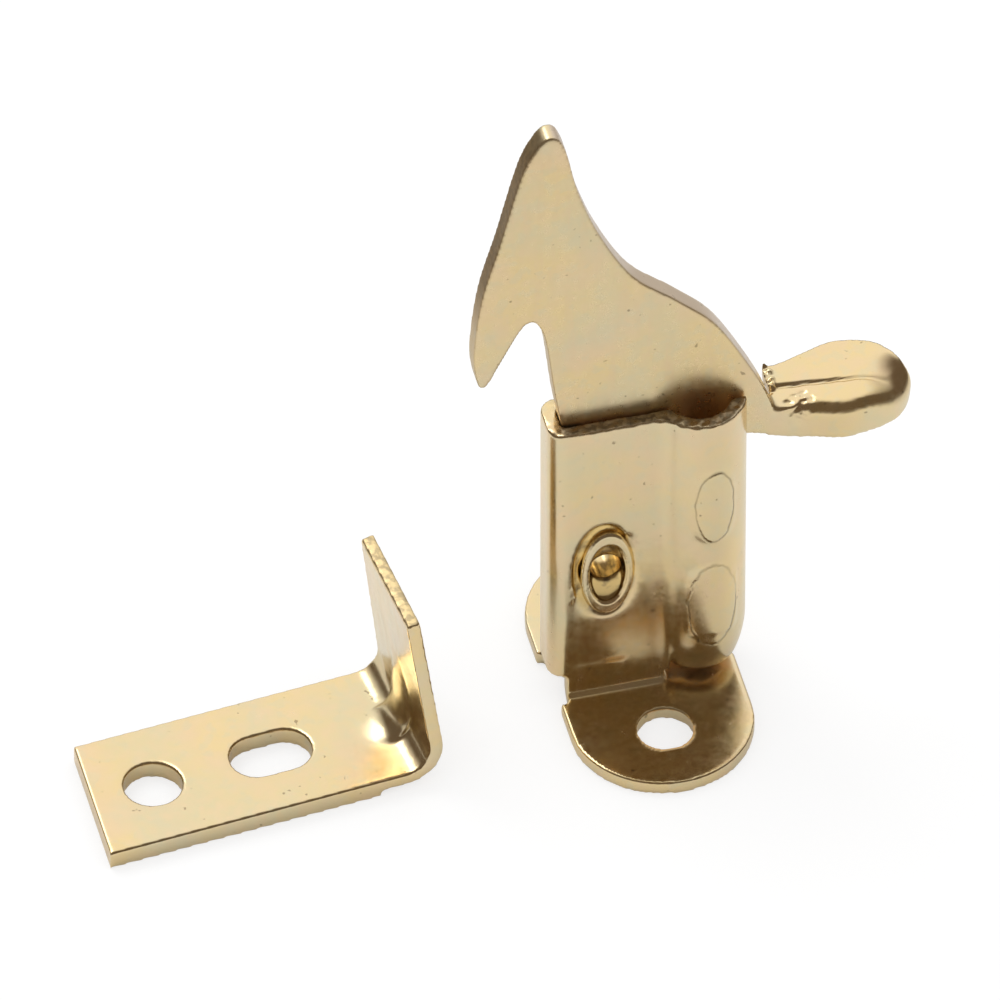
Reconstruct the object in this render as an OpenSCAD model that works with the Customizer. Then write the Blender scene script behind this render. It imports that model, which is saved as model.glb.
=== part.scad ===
// Elbow catch for a cabinet door, with its separate strike plate.
// Millimetres. The catch stands on z = 0 with the middle of its two screw ears at the origin.
// X runs from the hook side to the thumb tab, Y runs across the case, from the front ear to the rear ear.

/* [Case] */
// Height of the folded case above the mounting face
case_h = 27.2; // [25:0.1:31]
// Width of the case, from the spine to the end of the spring barrel
case_w = 14.75; // [14.5:0.05:18]
// Distance from the spine to the middle of the ears
spine_to_ears = 7.25; // [7:0.05:9]
// Thickness of the case sheet
sheet_t = 1.1; // [0.8:0.05:1.3]
// Height of the spine's foot above the mounting face
spine_foot_z = 3.0; // [2:0.1:6]
// Inside radius of the folds beside the spine
spine_inner_r = 0.15; // [0.05:0.05:0.4]
// Free play between the lever and each side plate
side_play = 0.15; // [0.1:0.05:0.3]

/* [Spring barrel] */
// Outside diameter of the barrel
barrel_d = 7.0; // [6.4:0.1:8]
// Height of the barrel's open foot above the mounting face
barrel_foot_z = 2.2; // [2:0.1:5]
// Height over which the foot is crimped inwards
crimp_h = 4.1; // [2:0.1:5]
// How far the foot is crimped inwards
crimp_in = 0.7; // [0.4:0.05:1.2]
// Radius of the hollow where a side plate runs into the barrel
barrel_blend_r = 1.5; // [0.5:0.1:3]
// How far the press marks stand proud of the barrel
mark_h = 0.1; // [0.05:0.05:0.3]

/* [Ears] */
// Width of the front screw ear
ear_w = 13.3; // [11:0.1:16]
// Width of the rear screw ear
rear_ear_w = 14.2; // [11:0.1:16]
// Reach of an ear from the middle of the case
ear_reach = 12.3; // [11:0.1:16]
// Inside radius of the bend between a side plate and its ear
ear_bend_r = 0.6; // [0.3:0.1:1]
// Distance between the two screw holes
hole_pitch = 13.6; // [12:0.1:18]
// Diameter of a screw hole
hole_d = 4.0; // [3:0.1:5]

/* [Lever] */
// Thickness of the lever plate
lever_t = 1.6; // [1.2:0.1:2]
// Rise of the hook's tip above the case
hook_rise = 28.4; // [24:0.1:34]
// Depth of the barb, from the shank to the nose
barb_depth = 6.5; // [4.5:0.05:7.5]
// Gap between the shank and the spine, which stops the lever
stop_gap = 0.15; // [0.1:0.05:0.4]
// Depth of the lever's arm below the case rim
arm_drop = 4.0; // [3:0.1:6]
// Drop of the thumb tab's top below the case rim
tab_drop = 2.2; // [1:0.1:3]
// Length of the thumb tab
tab_l = 10.6; // [9:0.1:14]
// Reach of the thumb tab behind the middle of the lever
tab_reach = 5.0; // [4:0.1:7]
// How far the tab's front swells out past the lever
tab_bulge = 0.85; // [0.3:0.05:1.2]
// Outside radius of the tab's turned-down edge
tab_bend_r = 1.1; // [0.6:0.1:1.5]

/* [Pivot rivet] */
// Distance from the spine to the pivot
pivot_inset = 4.25; // [4.1:0.05:6]
// Height of the pivot above the mounting face
pivot_z = 12.6; // [11:0.1:16]
// Diameter of the rivet's shank
rivet_d = 3.2; // [2.6:0.1:3.6]
// Diameter of the hole through the rivet
rivet_bore_d = 2.3; // [1.4:0.1:2.4]
// Width of the rolled ring on the front
ring_w = 3.9; // [3.7:0.1:4.3]
// Height of the rolled ring on the front
ring_h = 8.0; // [5:0.1:8.6]
// Thickness of the rolled ring
ring_t = 0.45; // [0.3:0.05:0.5]
// Width of the ring's mouth
mouth_w = 2.6; // [2.4:0.1:3]
// Height of the ring's mouth
mouth_h = 5.6; // [3:0.1:6]
// Diameter of the flat head at the rear
head_d = 5.4; // [4.4:0.1:6.4]
// Thickness of the flat head
head_t = 0.6; // [0.4:0.1:1]
// Running clearance of the lever on the rivet
pivot_clear = 0.05; // [0.02:0.01:0.1]
// Width of the recess round the ring
recess_w = 4.6; // [4.5:0.1:5.4]
// Height of the recess round the ring
recess_h = 9.3; // [8.8:0.1:10]
// Depth of the recess
recess_depth = 0.5; // [0.2:0.05:0.6]
// Radius of the lever's boss round the pivot
boss_r = 2.9; // [2.4:0.1:3.4]

/* [Spring] */
// Thickness of the spring wire
wire_d = 0.6; // [0.4:0.05:0.8]
// Gap between the spring and the barrel
spring_gap = 0.2; // [0.15:0.05:0.4]
// Number of turns, with one closed turn at each end
spring_turns = 10; // [6:1:14]

/* [Strike plate] */
// Length of the strike's leg, out to the face of the lip
strike_l = 25.2; // [22:0.1:32]
// Width of the strike
strike_w = 11.0; // [9:0.1:14]
// Thickness of the strike
strike_t = 1.5; // [1:0.1:2]
// Thickness of the strike's bend and lip
lip_t = 1.0; // [0.7:0.05:1.5]
// Height of the lip above the mounting face
strike_h = 15.5; // [12:0.1:20]
// Inside radius of the strike's bend
strike_bend_r = 1.8; // [0.8:0.1:2.5]
// Lean of the lip over the leg, in degrees
lip_lean = 7; // [0:1:10]
// Slant of the leg's sheared end, in degrees
end_slant = 6; // [0:1:8]
// How much narrower the lip is at its top
lip_taper = 1.4; // [0:0.1:3]
// Diameter of the round screw hole
strike_hole_d = 4.2; // [3:0.1:5]
// Distance of the round hole from the end of the leg
strike_hole_x = 5.2; // [4:0.1:7]
// Distance from the round hole to the middle of the slot
slot_pitch = 8.9; // [8:0.1:11]
// Length of the slot
slot_l = 6.0; // [5:0.1:7]
// Width of the slot
slot_w = 4.0; // [3:0.1:4.6]
// Radius of the stiffening dimple pressed into the bend
gusset_r = 1.8; // [1.2:0.1:2.2]
// Distance from the catch's middle to the strike's near corner, along X
strike_x = 41.3; // [38:0.05:60]
// Distance from the catch's middle to the strike's near corner, along Y
strike_y = 9.8; // [0:0.05:15]
// Turn of the strike beside the catch, in degrees
strike_turn = 6.5; // [0:0.5:10]

/* [Hidden] */
$fn = 64;
plating = "#cdb98c";
spring_steel = "#a5a29b";
past = 1;

// Case
half_gap = lever_t / 2 + side_play;
half_case = half_gap + sheet_t;
spine_x = -spine_to_ears;
fold_r = spine_inner_r + sheet_t;
barrel_r = barrel_d / 2;
bore_r = barrel_r - sheet_t;
barrel_x = spine_x + case_w - barrel_r;
crimp_r = (crimp_h * crimp_h + crimp_in * crimp_in) / (2 * crimp_in);
crimp_top = barrel_foot_z + crimp_h;
plate_foot = sheet_t + ear_bend_r;
plate_end = barrel_x - sqrt(barrel_r * barrel_r - half_case * half_case);
plate_into = barrel_x - sqrt(pow(barrel_r - sheet_t / 2, 2) - half_gap * half_gap);
bend_x = spine_x + fold_r;
ear_back = half_case + ear_bend_r;
ear_relief = 0.5;
ear_middle_gap = 0.5;

// Embossed pad above the front bend, and the press marks on the barrel: [x, z, width, height]
pad = [spine_x + 3.65, plate_foot + 1.45, 3.7, 1.7];
pad_h = 0.1;
marks = [[barrel_x + 0.45, case_h - 8.2, 2.9, 6.8], [barrel_x + 0.35, barrel_foot_z + 7, 3.6, 8.0]];

// Pivot
pivot_x = spine_x + pivot_inset;
rivet_fit = 0.02;
ring_floor = half_case - recess_depth;
ring_lip = 0.2;
ring_edge = 0.3;

// Lever: the rim point is where the shank leaves the case, the tab point is where the thumb tab starts
lever_left = spine_x + sheet_t + stop_gap;
arm_z = case_h - arm_drop;
tab_x = barrel_x + barrel_r + 1.9;
tab_z = case_h - tab_drop;
tip_z = case_h + hook_rise;
nose_x = lever_left - barb_depth;
arm_start = pivot_x + boss_r + 1.4;
shank_edge = [
    [lever_left, case_h - 1], [lever_left - 0.6, case_h + 2.8], [lever_left - 1.2, case_h + 7.9],
    [lever_left - 1.7, case_h + 9.9], [lever_left - 2.35, case_h + 10.6], [lever_left - 3.15, case_h + 9.9],
    [nose_x + 1.9, case_h + 7.0], [nose_x + 1.2, case_h + 5.5]];
hook_edge = [
    [nose_x + 0.8, case_h + 4.95], [nose_x + 0.3, case_h + 5.3], [nose_x, case_h + 8.2],
    [nose_x + 0.6, case_h + 13.6],
    [nose_x + 1.9, tip_z - 9.7], [nose_x + 3.45, tip_z - 3.4], [nose_x + 4.55, tip_z - 0.9],
    [nose_x + 5.35, tip_z - 0.05], [nose_x + 6.1, tip_z - 0.25], [nose_x + 6.6, tip_z - 1.3]];
back_edge = [
    [lever_left + 0.4, tip_z - 2.6], [lever_left + 1.1, tip_z - 5.9], [lever_left + 2.6, case_h + 18.1],
    [lever_left + 5, case_h + 13.5], [tab_x - 7.1, case_h + 10.3], [tab_x - 4.2, case_h + 7.1],
    [tab_x - 1.3, case_h + 1.4], [tab_x, tab_z]];
arm_edge = [[tab_x, arm_z - 0.75], [tab_x - 1.8, arm_z - 0.2], [tab_x - 4, arm_z], [arm_start, arm_z]];
tab_end = tab_x + tab_l;
tab_underside = [
    [tab_x - 0.5, arm_z - 0.7], [tab_x + 0.6, arm_z - 1.05], [tab_x + 1.6, arm_z - 1.3],
    [tab_x + 4, arm_z - 1.35], [tab_end - 2.6, arm_z - 1.3], [tab_end - 1.1, arm_z - 1.15],
    [tab_end - 0.3, arm_z - 0.5], [tab_end + 0.1, arm_z + 0.8], [tab_end + 0.2, tab_z + 0.1]];

// Plan of the thumb tab, from its neck along the front, round the end and back along the rear edge
tab_face = -lever_t / 2;
tab_plan = [
    [tab_x - 0.5, tab_face], [tab_x + 1.2, tab_face - 0.05], [tab_x + 2.6, tab_face - 0.3 * tab_bulge],
    [tab_x + 4.6, tab_face - tab_bulge], [tab_end - 4.2, tab_face - 0.9 * tab_bulge],
    [tab_end - 2.2, tab_face - 0.15 * tab_bulge], [tab_end - 0.9, 0.1], [tab_end, 1.5], [tab_end - 0.25, 2.3],
    [tab_end - 0.85, 2.9], [tab_end - 2.3, tab_reach - 0.6], [tab_x + 5.7, tab_reach],
    [tab_x + 3.4, tab_reach - 0.6], [tab_x + 0.8, tab_reach - 1.5]];
tab_neck = [[tab_x + 0.2, 1.3], [tab_x, lever_t / 2], [tab_x - 0.5, lever_t / 2]];
tab_steps = 5;
tab_layers = 7;

// Spring
spring_r = bore_r - spring_gap - wire_d / 2;
spring_top = arm_z - 0.05;
spring_seat_drop = sqrt(pow(crimp_r - sheet_t, 2) - pow(crimp_r - sheet_t - spring_gap * 0.75, 2));
spring_foot = crimp_top - spring_seat_drop - wire_d / 2;
wire_sides = 6;
turn_steps = 16;

// Strike
bend_out_r = strike_bend_r + lip_t;
strike_bend_x = strike_l - bend_out_r;
strike_bend_z = strike_t + strike_bend_r;
lip_l = (strike_h - strike_bend_z - strike_bend_r * sin(lip_lean)) / cos(lip_lean);
gusset_run = 5;
gusset_tilt = 24;
leg_step_x = strike_bend_x - 1.9;
gusset_proud = 0.9;
gusset_dent = 0.5;

// A smooth curve through points, with a number of steps between neighbours
function spline_point(p, i, t) =
    let (a = p[max(i - 1, 0)], b = p[i], c = p[i + 1], d = p[min(i + 2, len(p) - 1)])
    0.5 * (2 * b + (c - a) * t + (2 * a - 5 * b + 4 * c - d) * t * t + (3 * b - 3 * c + d - a) * t * t * t);
function spline(p, steps = 8) =
    concat([for (i = [0 : len(p) - 2], k = [0 : steps - 1]) spline_point(p, i, k / steps)], [p[len(p) - 1]]);

// A bar with round ends, standing along Y
module oval(w, h) {
    square([w, h - w], center = true);
    for (side = [-1, 1]) translate([0, side * (h - w) / 2]) circle(d = w);
}

// An ellipse of a given width and height
module ellipse(w, h) {
    polygon([for (i = [0 : 47]) [w / 2 * cos(7.5 * i), h / 2 * sin(7.5 * i)]]);
}

// A bar whose two left corners are rounded
module folded_bar(x0, x1, half, r) {
    translate([x0 + r, -half]) square([x1 - x0 - r, 2 * half]);
    translate([x0, r - half]) square([2 * r, 2 * (half - r)]);
    for (side = [-1, 1]) translate([x0 + r, side * (half - r)]) circle(r);
}

// Spine and side plates, seen from above
module folded_sheet(x1) {
    difference() {
        folded_bar(spine_x, x1, half_case, fold_r);
        folded_bar(spine_x + sheet_t, x1 + past, half_gap, spine_inner_r);
    }
}

// The hollow between a side plate and the barrel, seen from above
module barrel_blend() {
    y = half_case + barrel_blend_r;
    x = barrel_x - sqrt(pow(barrel_r + barrel_blend_r, 2) - y * y);
    touch = barrel_r / (barrel_r + barrel_blend_r);
    difference() {
        polygon([[x, half_case], [x, y], [barrel_x + (x - barrel_x) * touch, y * touch],
                 [plate_into, half_case - sheet_t / 2], [x, half_case - sheet_t / 2]]);
        translate([x, y]) circle(barrel_blend_r);
    }
}

// Two half shells that hold the spring, open on the side where the lever moves
module spring_barrel() {
    translate([barrel_x, 0, 0]) difference() {
        union() {
            translate([0, 0, crimp_top]) cylinder(r = barrel_r, h = case_h - crimp_top);
            rotate_extrude() intersection() {
                translate([barrel_r - crimp_r, crimp_top]) circle(crimp_r);
                translate([0, barrel_foot_z]) square([barrel_r, crimp_h]);
            }
        }
        translate([0, 0, crimp_top]) cylinder(r = bore_r, h = case_h);
        rotate_extrude() intersection() {
            translate([barrel_r - crimp_r, crimp_top]) circle(crimp_r - sheet_t);
            translate([0, barrel_foot_z - past]) square([barrel_r, crimp_h + past]);
        }
        translate([-case_w, -half_gap, 0]) cube([2 * case_w, 2 * half_gap, case_h + past]);
    }
}

// A screw ear of a given width with its bend, on the front of the case
module ear(w) {
    bend_out = ear_bend_r + sheet_t;
    translate([bend_x, 0, 0]) rotate([90, 0, 90]) linear_extrude(plate_end - bend_x)
        translate([-ear_back, plate_foot]) difference() {
            intersection() {
                circle(bend_out);
                translate([0, -bend_out]) square(bend_out);
            }
            circle(ear_bend_r);
        }
    linear_extrude(sheet_t) difference() {
        union() {
            translate([0, w / 2 - ear_reach]) circle(d = w);
            translate([-w / 2, w / 2 - ear_reach]) square([w, ear_reach - w / 2 - ear_back]);
            translate([plate_end + ear_relief, -ear_back - past])
                square([ear_w / 2 - plate_end - ear_relief, ear_back + past - ear_middle_gap]);
        }
        translate([0, -hole_pitch / 2]) circle(d = hole_d);
    }
}

module case() {
    color(plating) difference() {
        union() {
            translate([0, 0, spine_foot_z]) linear_extrude(case_h - spine_foot_z) folded_sheet(plate_end);
            for (side = [0, 1]) mirror([0, side, 0]) {
                translate([bend_x, half_gap, plate_foot])
                    cube([plate_end - bend_x, sheet_t, case_h - plate_foot]);
                translate([0, 0, barrel_foot_z]) linear_extrude(case_h - barrel_foot_z) {
                    translate([bend_x, half_gap]) square([plate_into - bend_x, sheet_t]);
                    barrel_blend();
                }
            }
            spring_barrel();
            ear(ear_w);
            mirror([0, 1, 0]) ear(rear_ear_w);
            translate([pad[0] - pad[2] / 2, -half_case - pad_h, pad[1] - pad[3] / 2])
                cube([pad[2], pad_h + sheet_t / 2, pad[3]]);
            for (mark = marks) difference() {
                intersection() {
                    translate([barrel_x, 0, crimp_top])
                        cylinder(r = barrel_r + mark_h, h = case_h - crimp_top);
                    translate([mark[0], -barrel_r / 3, mark[1]]) rotate([90, 0, 0])
                        linear_extrude(barrel_r) oval(mark[2], mark[3]);
                }
                translate([barrel_x, 0, 0]) cylinder(r = barrel_r - sheet_t / 2, h = case_h);
            }
        }
        translate([pivot_x, 0, pivot_z]) rotate([90, 0, 0]) {
            cylinder(d = rivet_d + 2 * rivet_fit, h = 4 * half_case, center = true);
            translate([0, 0, ring_floor]) linear_extrude(recess_depth + past) ellipse(recess_w, recess_h);
        }
    }
}

// Side view of the lever's flat plate: shank, barb, hook, swan neck and arm
module lever_plate() {
    polygon(concat(spline(shank_edge), spline(hook_edge), spline(back_edge), spline(arm_edge),
                   [[pivot_x + boss_r, pivot_z], [pivot_x - boss_r, pivot_z]]));
    translate([pivot_x, pivot_z]) circle(boss_r);
}

// The tab's plan drawn in by a distance, less at the neck and along the rear edge
function outward(p, i) =
    let (d = p[min(i + 1, len(p) - 1)] - p[max(i - 1, 0)]) [d[1], -d[0]] / norm(d);
function edge_share(i) =
    min(1, max(0, i / tab_steps - 0.8)) * min(1, max(0, (9 - i / tab_steps) / 2));
function tab_drawn_in(by) =
    let (p = spline(tab_plan, tab_steps))
    [for (i = [0 : len(p) - 1]) p[i] - outward(p, i) * by * edge_share(i)];

// The space under the tab, seen from above
function tab_hollow() =
    let (p = spline(tab_plan, tab_steps), last = round(7.5 * tab_steps))
    concat([for (i = [0 : last]) p[i] - outward(p, i) * lever_t],
           [[tab_end + past, 2.7], [tab_end + past, 2 * tab_reach], [tab_x - past, 2 * tab_reach],
            [tab_x - past, lever_t / 2]]);

// The thumb tab: a flange whose front and end are turned down, in layers over the turned edge
module thumb_tab() {
    foot = arm_z - arm_drop;
    edge_z = tab_z - tab_bend_r;
    difference() {
        intersection() {
            union() {
                translate([0, 0, foot]) linear_extrude(edge_z - foot)
                    polygon(concat(tab_drawn_in(0), tab_neck));
                for (i = [0 : tab_layers - 1]) {
                    low = 90 * i / tab_layers;
                    high = 90 * (i + 1) / tab_layers;
                    translate([0, 0, edge_z - 0.01]) linear_extrude(0.01 + tab_bend_r * sin(high))
                        polygon(concat(tab_drawn_in(tab_bend_r * (1 - cos((low + high) / 2))), tab_neck));
                }
            }
            rotate([90, 0, 0]) linear_extrude(4 * tab_reach, center = true)
                polygon(concat(spline(tab_underside), [[tab_x - 0.5, tab_z + 0.1]]));
        }
        translate([0, 0, foot - past]) linear_extrude(tab_z - lever_t - foot + past) polygon(tab_hollow());
    }
}

module lever() {
    color(plating) difference() {
        union() {
            rotate([90, 0, 0]) linear_extrude(lever_t, center = true) lever_plate();
            thumb_tab();
        }
        translate([pivot_x, 0, pivot_z]) rotate([90, 0, 0])
            cylinder(d = rivet_d + 2 * pivot_clear, h = 2 * lever_t, center = true);
    }
}

// The ring rolled over at the front, in two steps that round its edges
module rolled_ring() {
    for (step = [[ring_t - ring_edge / 2, 0], [ring_t, ring_edge]]) linear_extrude(step[0]) difference() {
        ellipse(ring_w - step[1], ring_h - step[1]);
        ellipse(mouth_w + step[1], mouth_h + step[1]);
    }
}

// Tubular rivet: a flat head at the rear and a ring rolled over in the front recess
module pivot_rivet() {
    color(plating) translate([pivot_x, 0, pivot_z]) rotate([90, 0, 0]) difference() {
        union() {
            translate([0, 0, -half_case - head_t]) cylinder(d = head_d, h = head_t);
            translate([0, 0, -half_case - head_t / 2])
                cylinder(d = rivet_d, h = half_case + ring_floor + head_t / 2 + ring_lip);
            translate([0, 0, ring_floor]) rolled_ring();
        }
        cylinder(d = rivet_bore_d, h = 6 * half_case, center = true);
    }
}

// Height of the wire's middle after a number of turns: the first and the last turn lie closed
function wire_z(turn) =
    let (low = spring_foot + wire_d / 2, high = spring_top - wire_d / 2, closed = wire_d * 1.05)
    turn < 1 ? low + closed * turn
    : turn > spring_turns - 1 ? high - closed * (spring_turns - turn)
    : low + closed + (high - low - 2 * closed) * (turn - 1) / (spring_turns - 2);

module spring() {
    rings = spring_turns * turn_steps;
    points = [for (i = [0 : rings], k = [0 : wire_sides - 1])
        let (around = 360 * i / turn_steps, section = 360 * k / wire_sides,
             r = spring_r + wire_d / 2 * cos(section))
        [barrel_x + r * cos(around), r * sin(around), wire_z(i / turn_steps) + wire_d / 2 * sin(section)]];
    sides = [for (i = [0 : rings - 1], k = [0 : wire_sides - 1], half = [0, 1])
        let (next = (k + 1) % wire_sides, a = i * wire_sides, b = a + wire_sides)
        half == 0 ? [a + k, a + next, b + next] : [a + k, b + next, b + k]];
    first = [for (k = [0 : wire_sides - 1]) wire_sides - 1 - k];
    last = [for (k = [0 : wire_sides - 1]) rings * wire_sides + k];
    color(spring_steel) polyhedron(points, concat(sides, [first, last]));
}

// Side view of the strike: leg, bend and leaning lip
module strike_section() {
    square([leg_step_x, strike_t]);
    translate([0, strike_t - lip_t]) square([strike_bend_x, lip_t]);
    translate([strike_bend_x, strike_bend_z]) {
        difference() {
            circle(bend_out_r);
            circle(strike_bend_r);
            translate([-2 * bend_out_r, -2 * bend_out_r]) square([2 * bend_out_r, 4 * bend_out_r]);
            rotate(lip_lean) translate([-2 * bend_out_r, 0]) square([4 * bend_out_r, 2 * bend_out_r]);
        }
        rotate(lip_lean) translate([strike_bend_r, 0]) square([lip_t, lip_l]);
    }
}

// A round bar laid across the corner of the bend, at a distance from the middle of the bend
module gusset_bar(r, away) {
    translate([strike_bend_x, strike_w / 2, strike_bend_z]) rotate([0, gusset_tilt, 0])
        translate([away, 0, 0]) cylinder(r = r, h = 4 * gusset_run, center = true);
}

// The corner inside the bend, seen from the side, down to the middle of the sheet
module gusset_corner() {
    middle_r = strike_bend_r + lip_t / 2;
    lip_point = [middle_r * cos(lip_lean) - 2 * gusset_run * sin(lip_lean),
                 middle_r * sin(lip_lean) + 2 * gusset_run * cos(lip_lean)];
    translate([strike_bend_x, strike_bend_z])
        polygon([[-gusset_run, -middle_r], [middle_r, -middle_r], lip_point]);
}

// What the lip's two tapered sides cut away
module lip_sides() {
    slope = atan(lip_taper / 2 / (strike_h - strike_bend_z));
    for (side = [0, 1]) translate([strike_l / 2, side * strike_w, strike_bend_z])
        rotate([(2 * side - 1) * slope, 0, 0]) translate([0, (side - 1) * strike_w, 0])
            cube([strike_l, strike_w, 2 * strike_h]);
}

module strike_plate() {
    color(plating) translate([-strike_x, -strike_y, 0]) rotate(strike_turn) difference() {
        union() {
            difference() {
                translate([0, strike_w, 0]) rotate([90, 0, 0]) linear_extrude(strike_w) strike_section();
                lip_sides();
                translate([0, 0, -past]) rotate(-end_slant) translate([-strike_l, -strike_w, 0])
                    cube([strike_l, 3 * strike_w, strike_h]);
            }
            intersection() {
                gusset_bar(gusset_r, strike_bend_r - gusset_proud);
                translate([0, strike_w, 0]) rotate([90, 0, 0]) linear_extrude(strike_w) gusset_corner();
            }
        }
        gusset_bar(gusset_r - gusset_dent, bend_out_r + gusset_r - 2 * gusset_dent);
        translate([strike_hole_x, strike_w / 2, -past]) cylinder(d = strike_hole_d, h = strike_t + 2 * past);
        translate([strike_hole_x + slot_pitch, strike_w / 2, -past]) rotate(90)
            linear_extrude(strike_t + 2 * past) oval(slot_w, slot_l);
    }
}

case();
lever();
pivot_rivet();
spring();
strike_plate();
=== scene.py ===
# %% [markdown]
# # A cabinet catch, from the measured part to the picture
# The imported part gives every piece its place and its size, and nothing of it is moved here. This lesson
# puts a visible skin on each piece: softer edges, the marks of the press, the plating, and then the light
# and the camera.

# %% The shared frame
import math
from functools import partial
import bmesh
import bpy
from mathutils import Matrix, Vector, noise


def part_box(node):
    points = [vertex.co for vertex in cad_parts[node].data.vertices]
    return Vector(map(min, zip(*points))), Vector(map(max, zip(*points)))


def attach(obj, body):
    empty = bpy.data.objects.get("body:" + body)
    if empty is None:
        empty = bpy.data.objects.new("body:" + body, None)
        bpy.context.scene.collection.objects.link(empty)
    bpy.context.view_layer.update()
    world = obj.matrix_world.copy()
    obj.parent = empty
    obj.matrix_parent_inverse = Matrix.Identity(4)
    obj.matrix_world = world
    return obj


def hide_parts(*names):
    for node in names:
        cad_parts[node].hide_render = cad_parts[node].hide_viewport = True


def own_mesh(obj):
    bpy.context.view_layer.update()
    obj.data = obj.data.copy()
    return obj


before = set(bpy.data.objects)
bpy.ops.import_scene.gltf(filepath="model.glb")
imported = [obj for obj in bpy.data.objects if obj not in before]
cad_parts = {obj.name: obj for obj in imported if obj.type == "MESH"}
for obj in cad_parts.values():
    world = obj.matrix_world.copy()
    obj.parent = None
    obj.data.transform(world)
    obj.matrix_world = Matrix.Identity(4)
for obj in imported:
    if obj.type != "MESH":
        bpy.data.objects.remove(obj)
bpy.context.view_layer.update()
MM = 0.001

# %% [markdown]
# ## Skins with soft edges
# Sheet that has been through a press has no knife edges: the punch draws the rim over on one side and the
# plating rounds the rest. A bevel needs clean edge loops, which a triangulated part doesn't have. So each
# copy is meshed again in even small cells and relaxed a few times, which rounds every rim by about the
# size of a cell.

# %% Copy, even mesh, soft edges
SAME_PLACE = 0.0001 * MM
SMOOTHING = 0.5


def soft_skin(node, cell, passes):
    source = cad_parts[node]
    mesh = source.data.copy()
    mesh.transform(source.matrix_world)
    merged = bmesh.new()
    merged.from_mesh(mesh)
    bmesh.ops.remove_doubles(merged, verts=merged.verts, dist=SAME_PLACE)
    merged.to_mesh(mesh)
    merged.free()
    mesh.materials.clear()
    piece = bpy.data.objects.new(node + "_skin", mesh)
    bpy.context.scene.collection.objects.link(piece)
    even = piece.modifiers.new("even", "REMESH")
    even.mode = "VOXEL"
    even.voxel_size = cell * MM
    soft = piece.modifiers.new("soft", "SMOOTH")
    soft.factor = SMOOTHING
    soft.iterations = passes
    bpy.context.view_layer.update()
    seen = piece.evaluated_get(bpy.context.evaluated_depsgraph_get())
    piece.data = bpy.data.meshes.new_from_object(seen)
    piece.modifiers.clear()
    piece.data.shade_smooth()
    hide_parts(node)
    print(piece.name, len(piece.data.vertices), "points")
    return piece


case = soft_skin("case", cell=0.18, passes=5)
lever = soft_skin("lever", cell=0.15, passes=5)
strike = soft_skin("strike_plate", cell=0.14, passes=5)
rivet = soft_skin("pivot_rivet", cell=0.07, passes=3)

# %% [markdown]
# ## Marks on the case and the rivet
# The rim of the case was torn off its strip, so its top is ragged. The recess for the rivet was struck a
# little off centre and runs out level at its lower right, and the rivet's tube is flared into its ring. A
# sculptor would brush these in by hand. Here each is a small rule that moves points of the skin, because
# a rule can be read and changed.

# %% Helpers for moving points
def clamp(value):
    return max(0.0, min(1.0, value))


def ramp(value, start, end):
    return clamp((value - start) / (end - start))


def ease(value, start, end):
    share = ramp(value, start, end)
    return share * share * (3 - 2 * share)


def oval_share(point, middle, half):
    return math.hypot((point.x / MM - middle[0]) / half[0], (point.z / MM - middle[1]) / half[1])


def relax(piece, chosen, times):
    shape = bmesh.new()
    shape.from_mesh(piece.data)
    near = [v for v in shape.verts if chosen(v.co)]
    for _ in range(times):
        bmesh.ops.smooth_vert(shape, verts=near, factor=SMOOTHING,
                              use_axis_x=True, use_axis_y=True, use_axis_z=True)
    shape.to_mesh(piece.data)
    shape.free()
    print(piece.name, len(near), "points relaxed")


# %% Torn rim
RIM_BAND = 0.5 * MM
COARSE_TEAR = 0.6 * MM
FINE_TEAR = 0.25 * MM
TEAR_DEPTH = 0.06 * MM
TEAR_SPREAD = 0.12 * MM
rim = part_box("case")[1][2]
for v in case.data.vertices:
    near_rim = ramp(v.co.z, rim - RIM_BAND, rim)
    tear = noise.noise(v.co / COARSE_TEAR) + 0.5 * noise.noise(v.co / FINE_TEAR)
    v.co.z -= max(0, TEAR_DEPTH + TEAR_SPREAD * tear) * near_rim
print("rim torn at", round(rim / MM, 1), "mm")

# %% Recess struck off centre
RECESS_HALF = (2.3, 4.65)
RECESS_SHIFT = Vector((-0.35, 0, 0.42)) * MM
SHIFT_ENDS = 1.7
SHIFT_FULL = 1.1
FRONT_SHEET = -1.3 * MM
rivet_low, rivet_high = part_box("pivot_rivet")
PIVOT = tuple(round((rivet_low[axis] + rivet_high[axis]) / 2 / MM, 2) for axis in (0, 2))
for v in case.data.vertices:
    if v.co.y < FRONT_SHEET:
        v.co += RECESS_SHIFT * ease(oval_share(v.co, PIVOT, RECESS_HALF), SHIFT_ENDS, SHIFT_FULL)
print("pivot", PIVOT, "recess shifted", [round(c / MM, 2) for c in RECESS_SHIFT])

# %% Recess run out level at its lower right
RECESS_AT = (PIVOT[0] + RECESS_SHIFT.x / MM, PIVOT[1] + RECESS_SHIFT.z / MM)
RING_HALF = (1.95, 4.0)
UNDER_RING = 0.93
PAST_RECESS = 1.25
FRONT_FACE = -2.05 * MM
LEVEL = FRONT_FACE + 0.03 * MM
RECESS_FLOOR = -1.5 * MM
LOWER_RIGHT = Vector((0.6, -0.8))
RUN_FROM = -1 / 3
RUN_FULL = 0.5
JUST_PROUD = FRONT_FACE - 0.1 * MM
LEAST_RUN = 0.01


def run_out(point):
    if oval_share(point, PIVOT, RING_HALF) < UNDER_RING:
        return 0.0
    if oval_share(point, RECESS_AT, RECESS_HALF) > PAST_RECESS:
        return 0.0
    across = (point.x / MM - PIVOT[0]) / RING_HALF[0]
    up = (point.z / MM - PIVOT[1]) / RING_HALF[1]
    return ease(Vector((across, up)).normalized().dot(LOWER_RIGHT), RUN_FROM, RUN_FULL)


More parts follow.
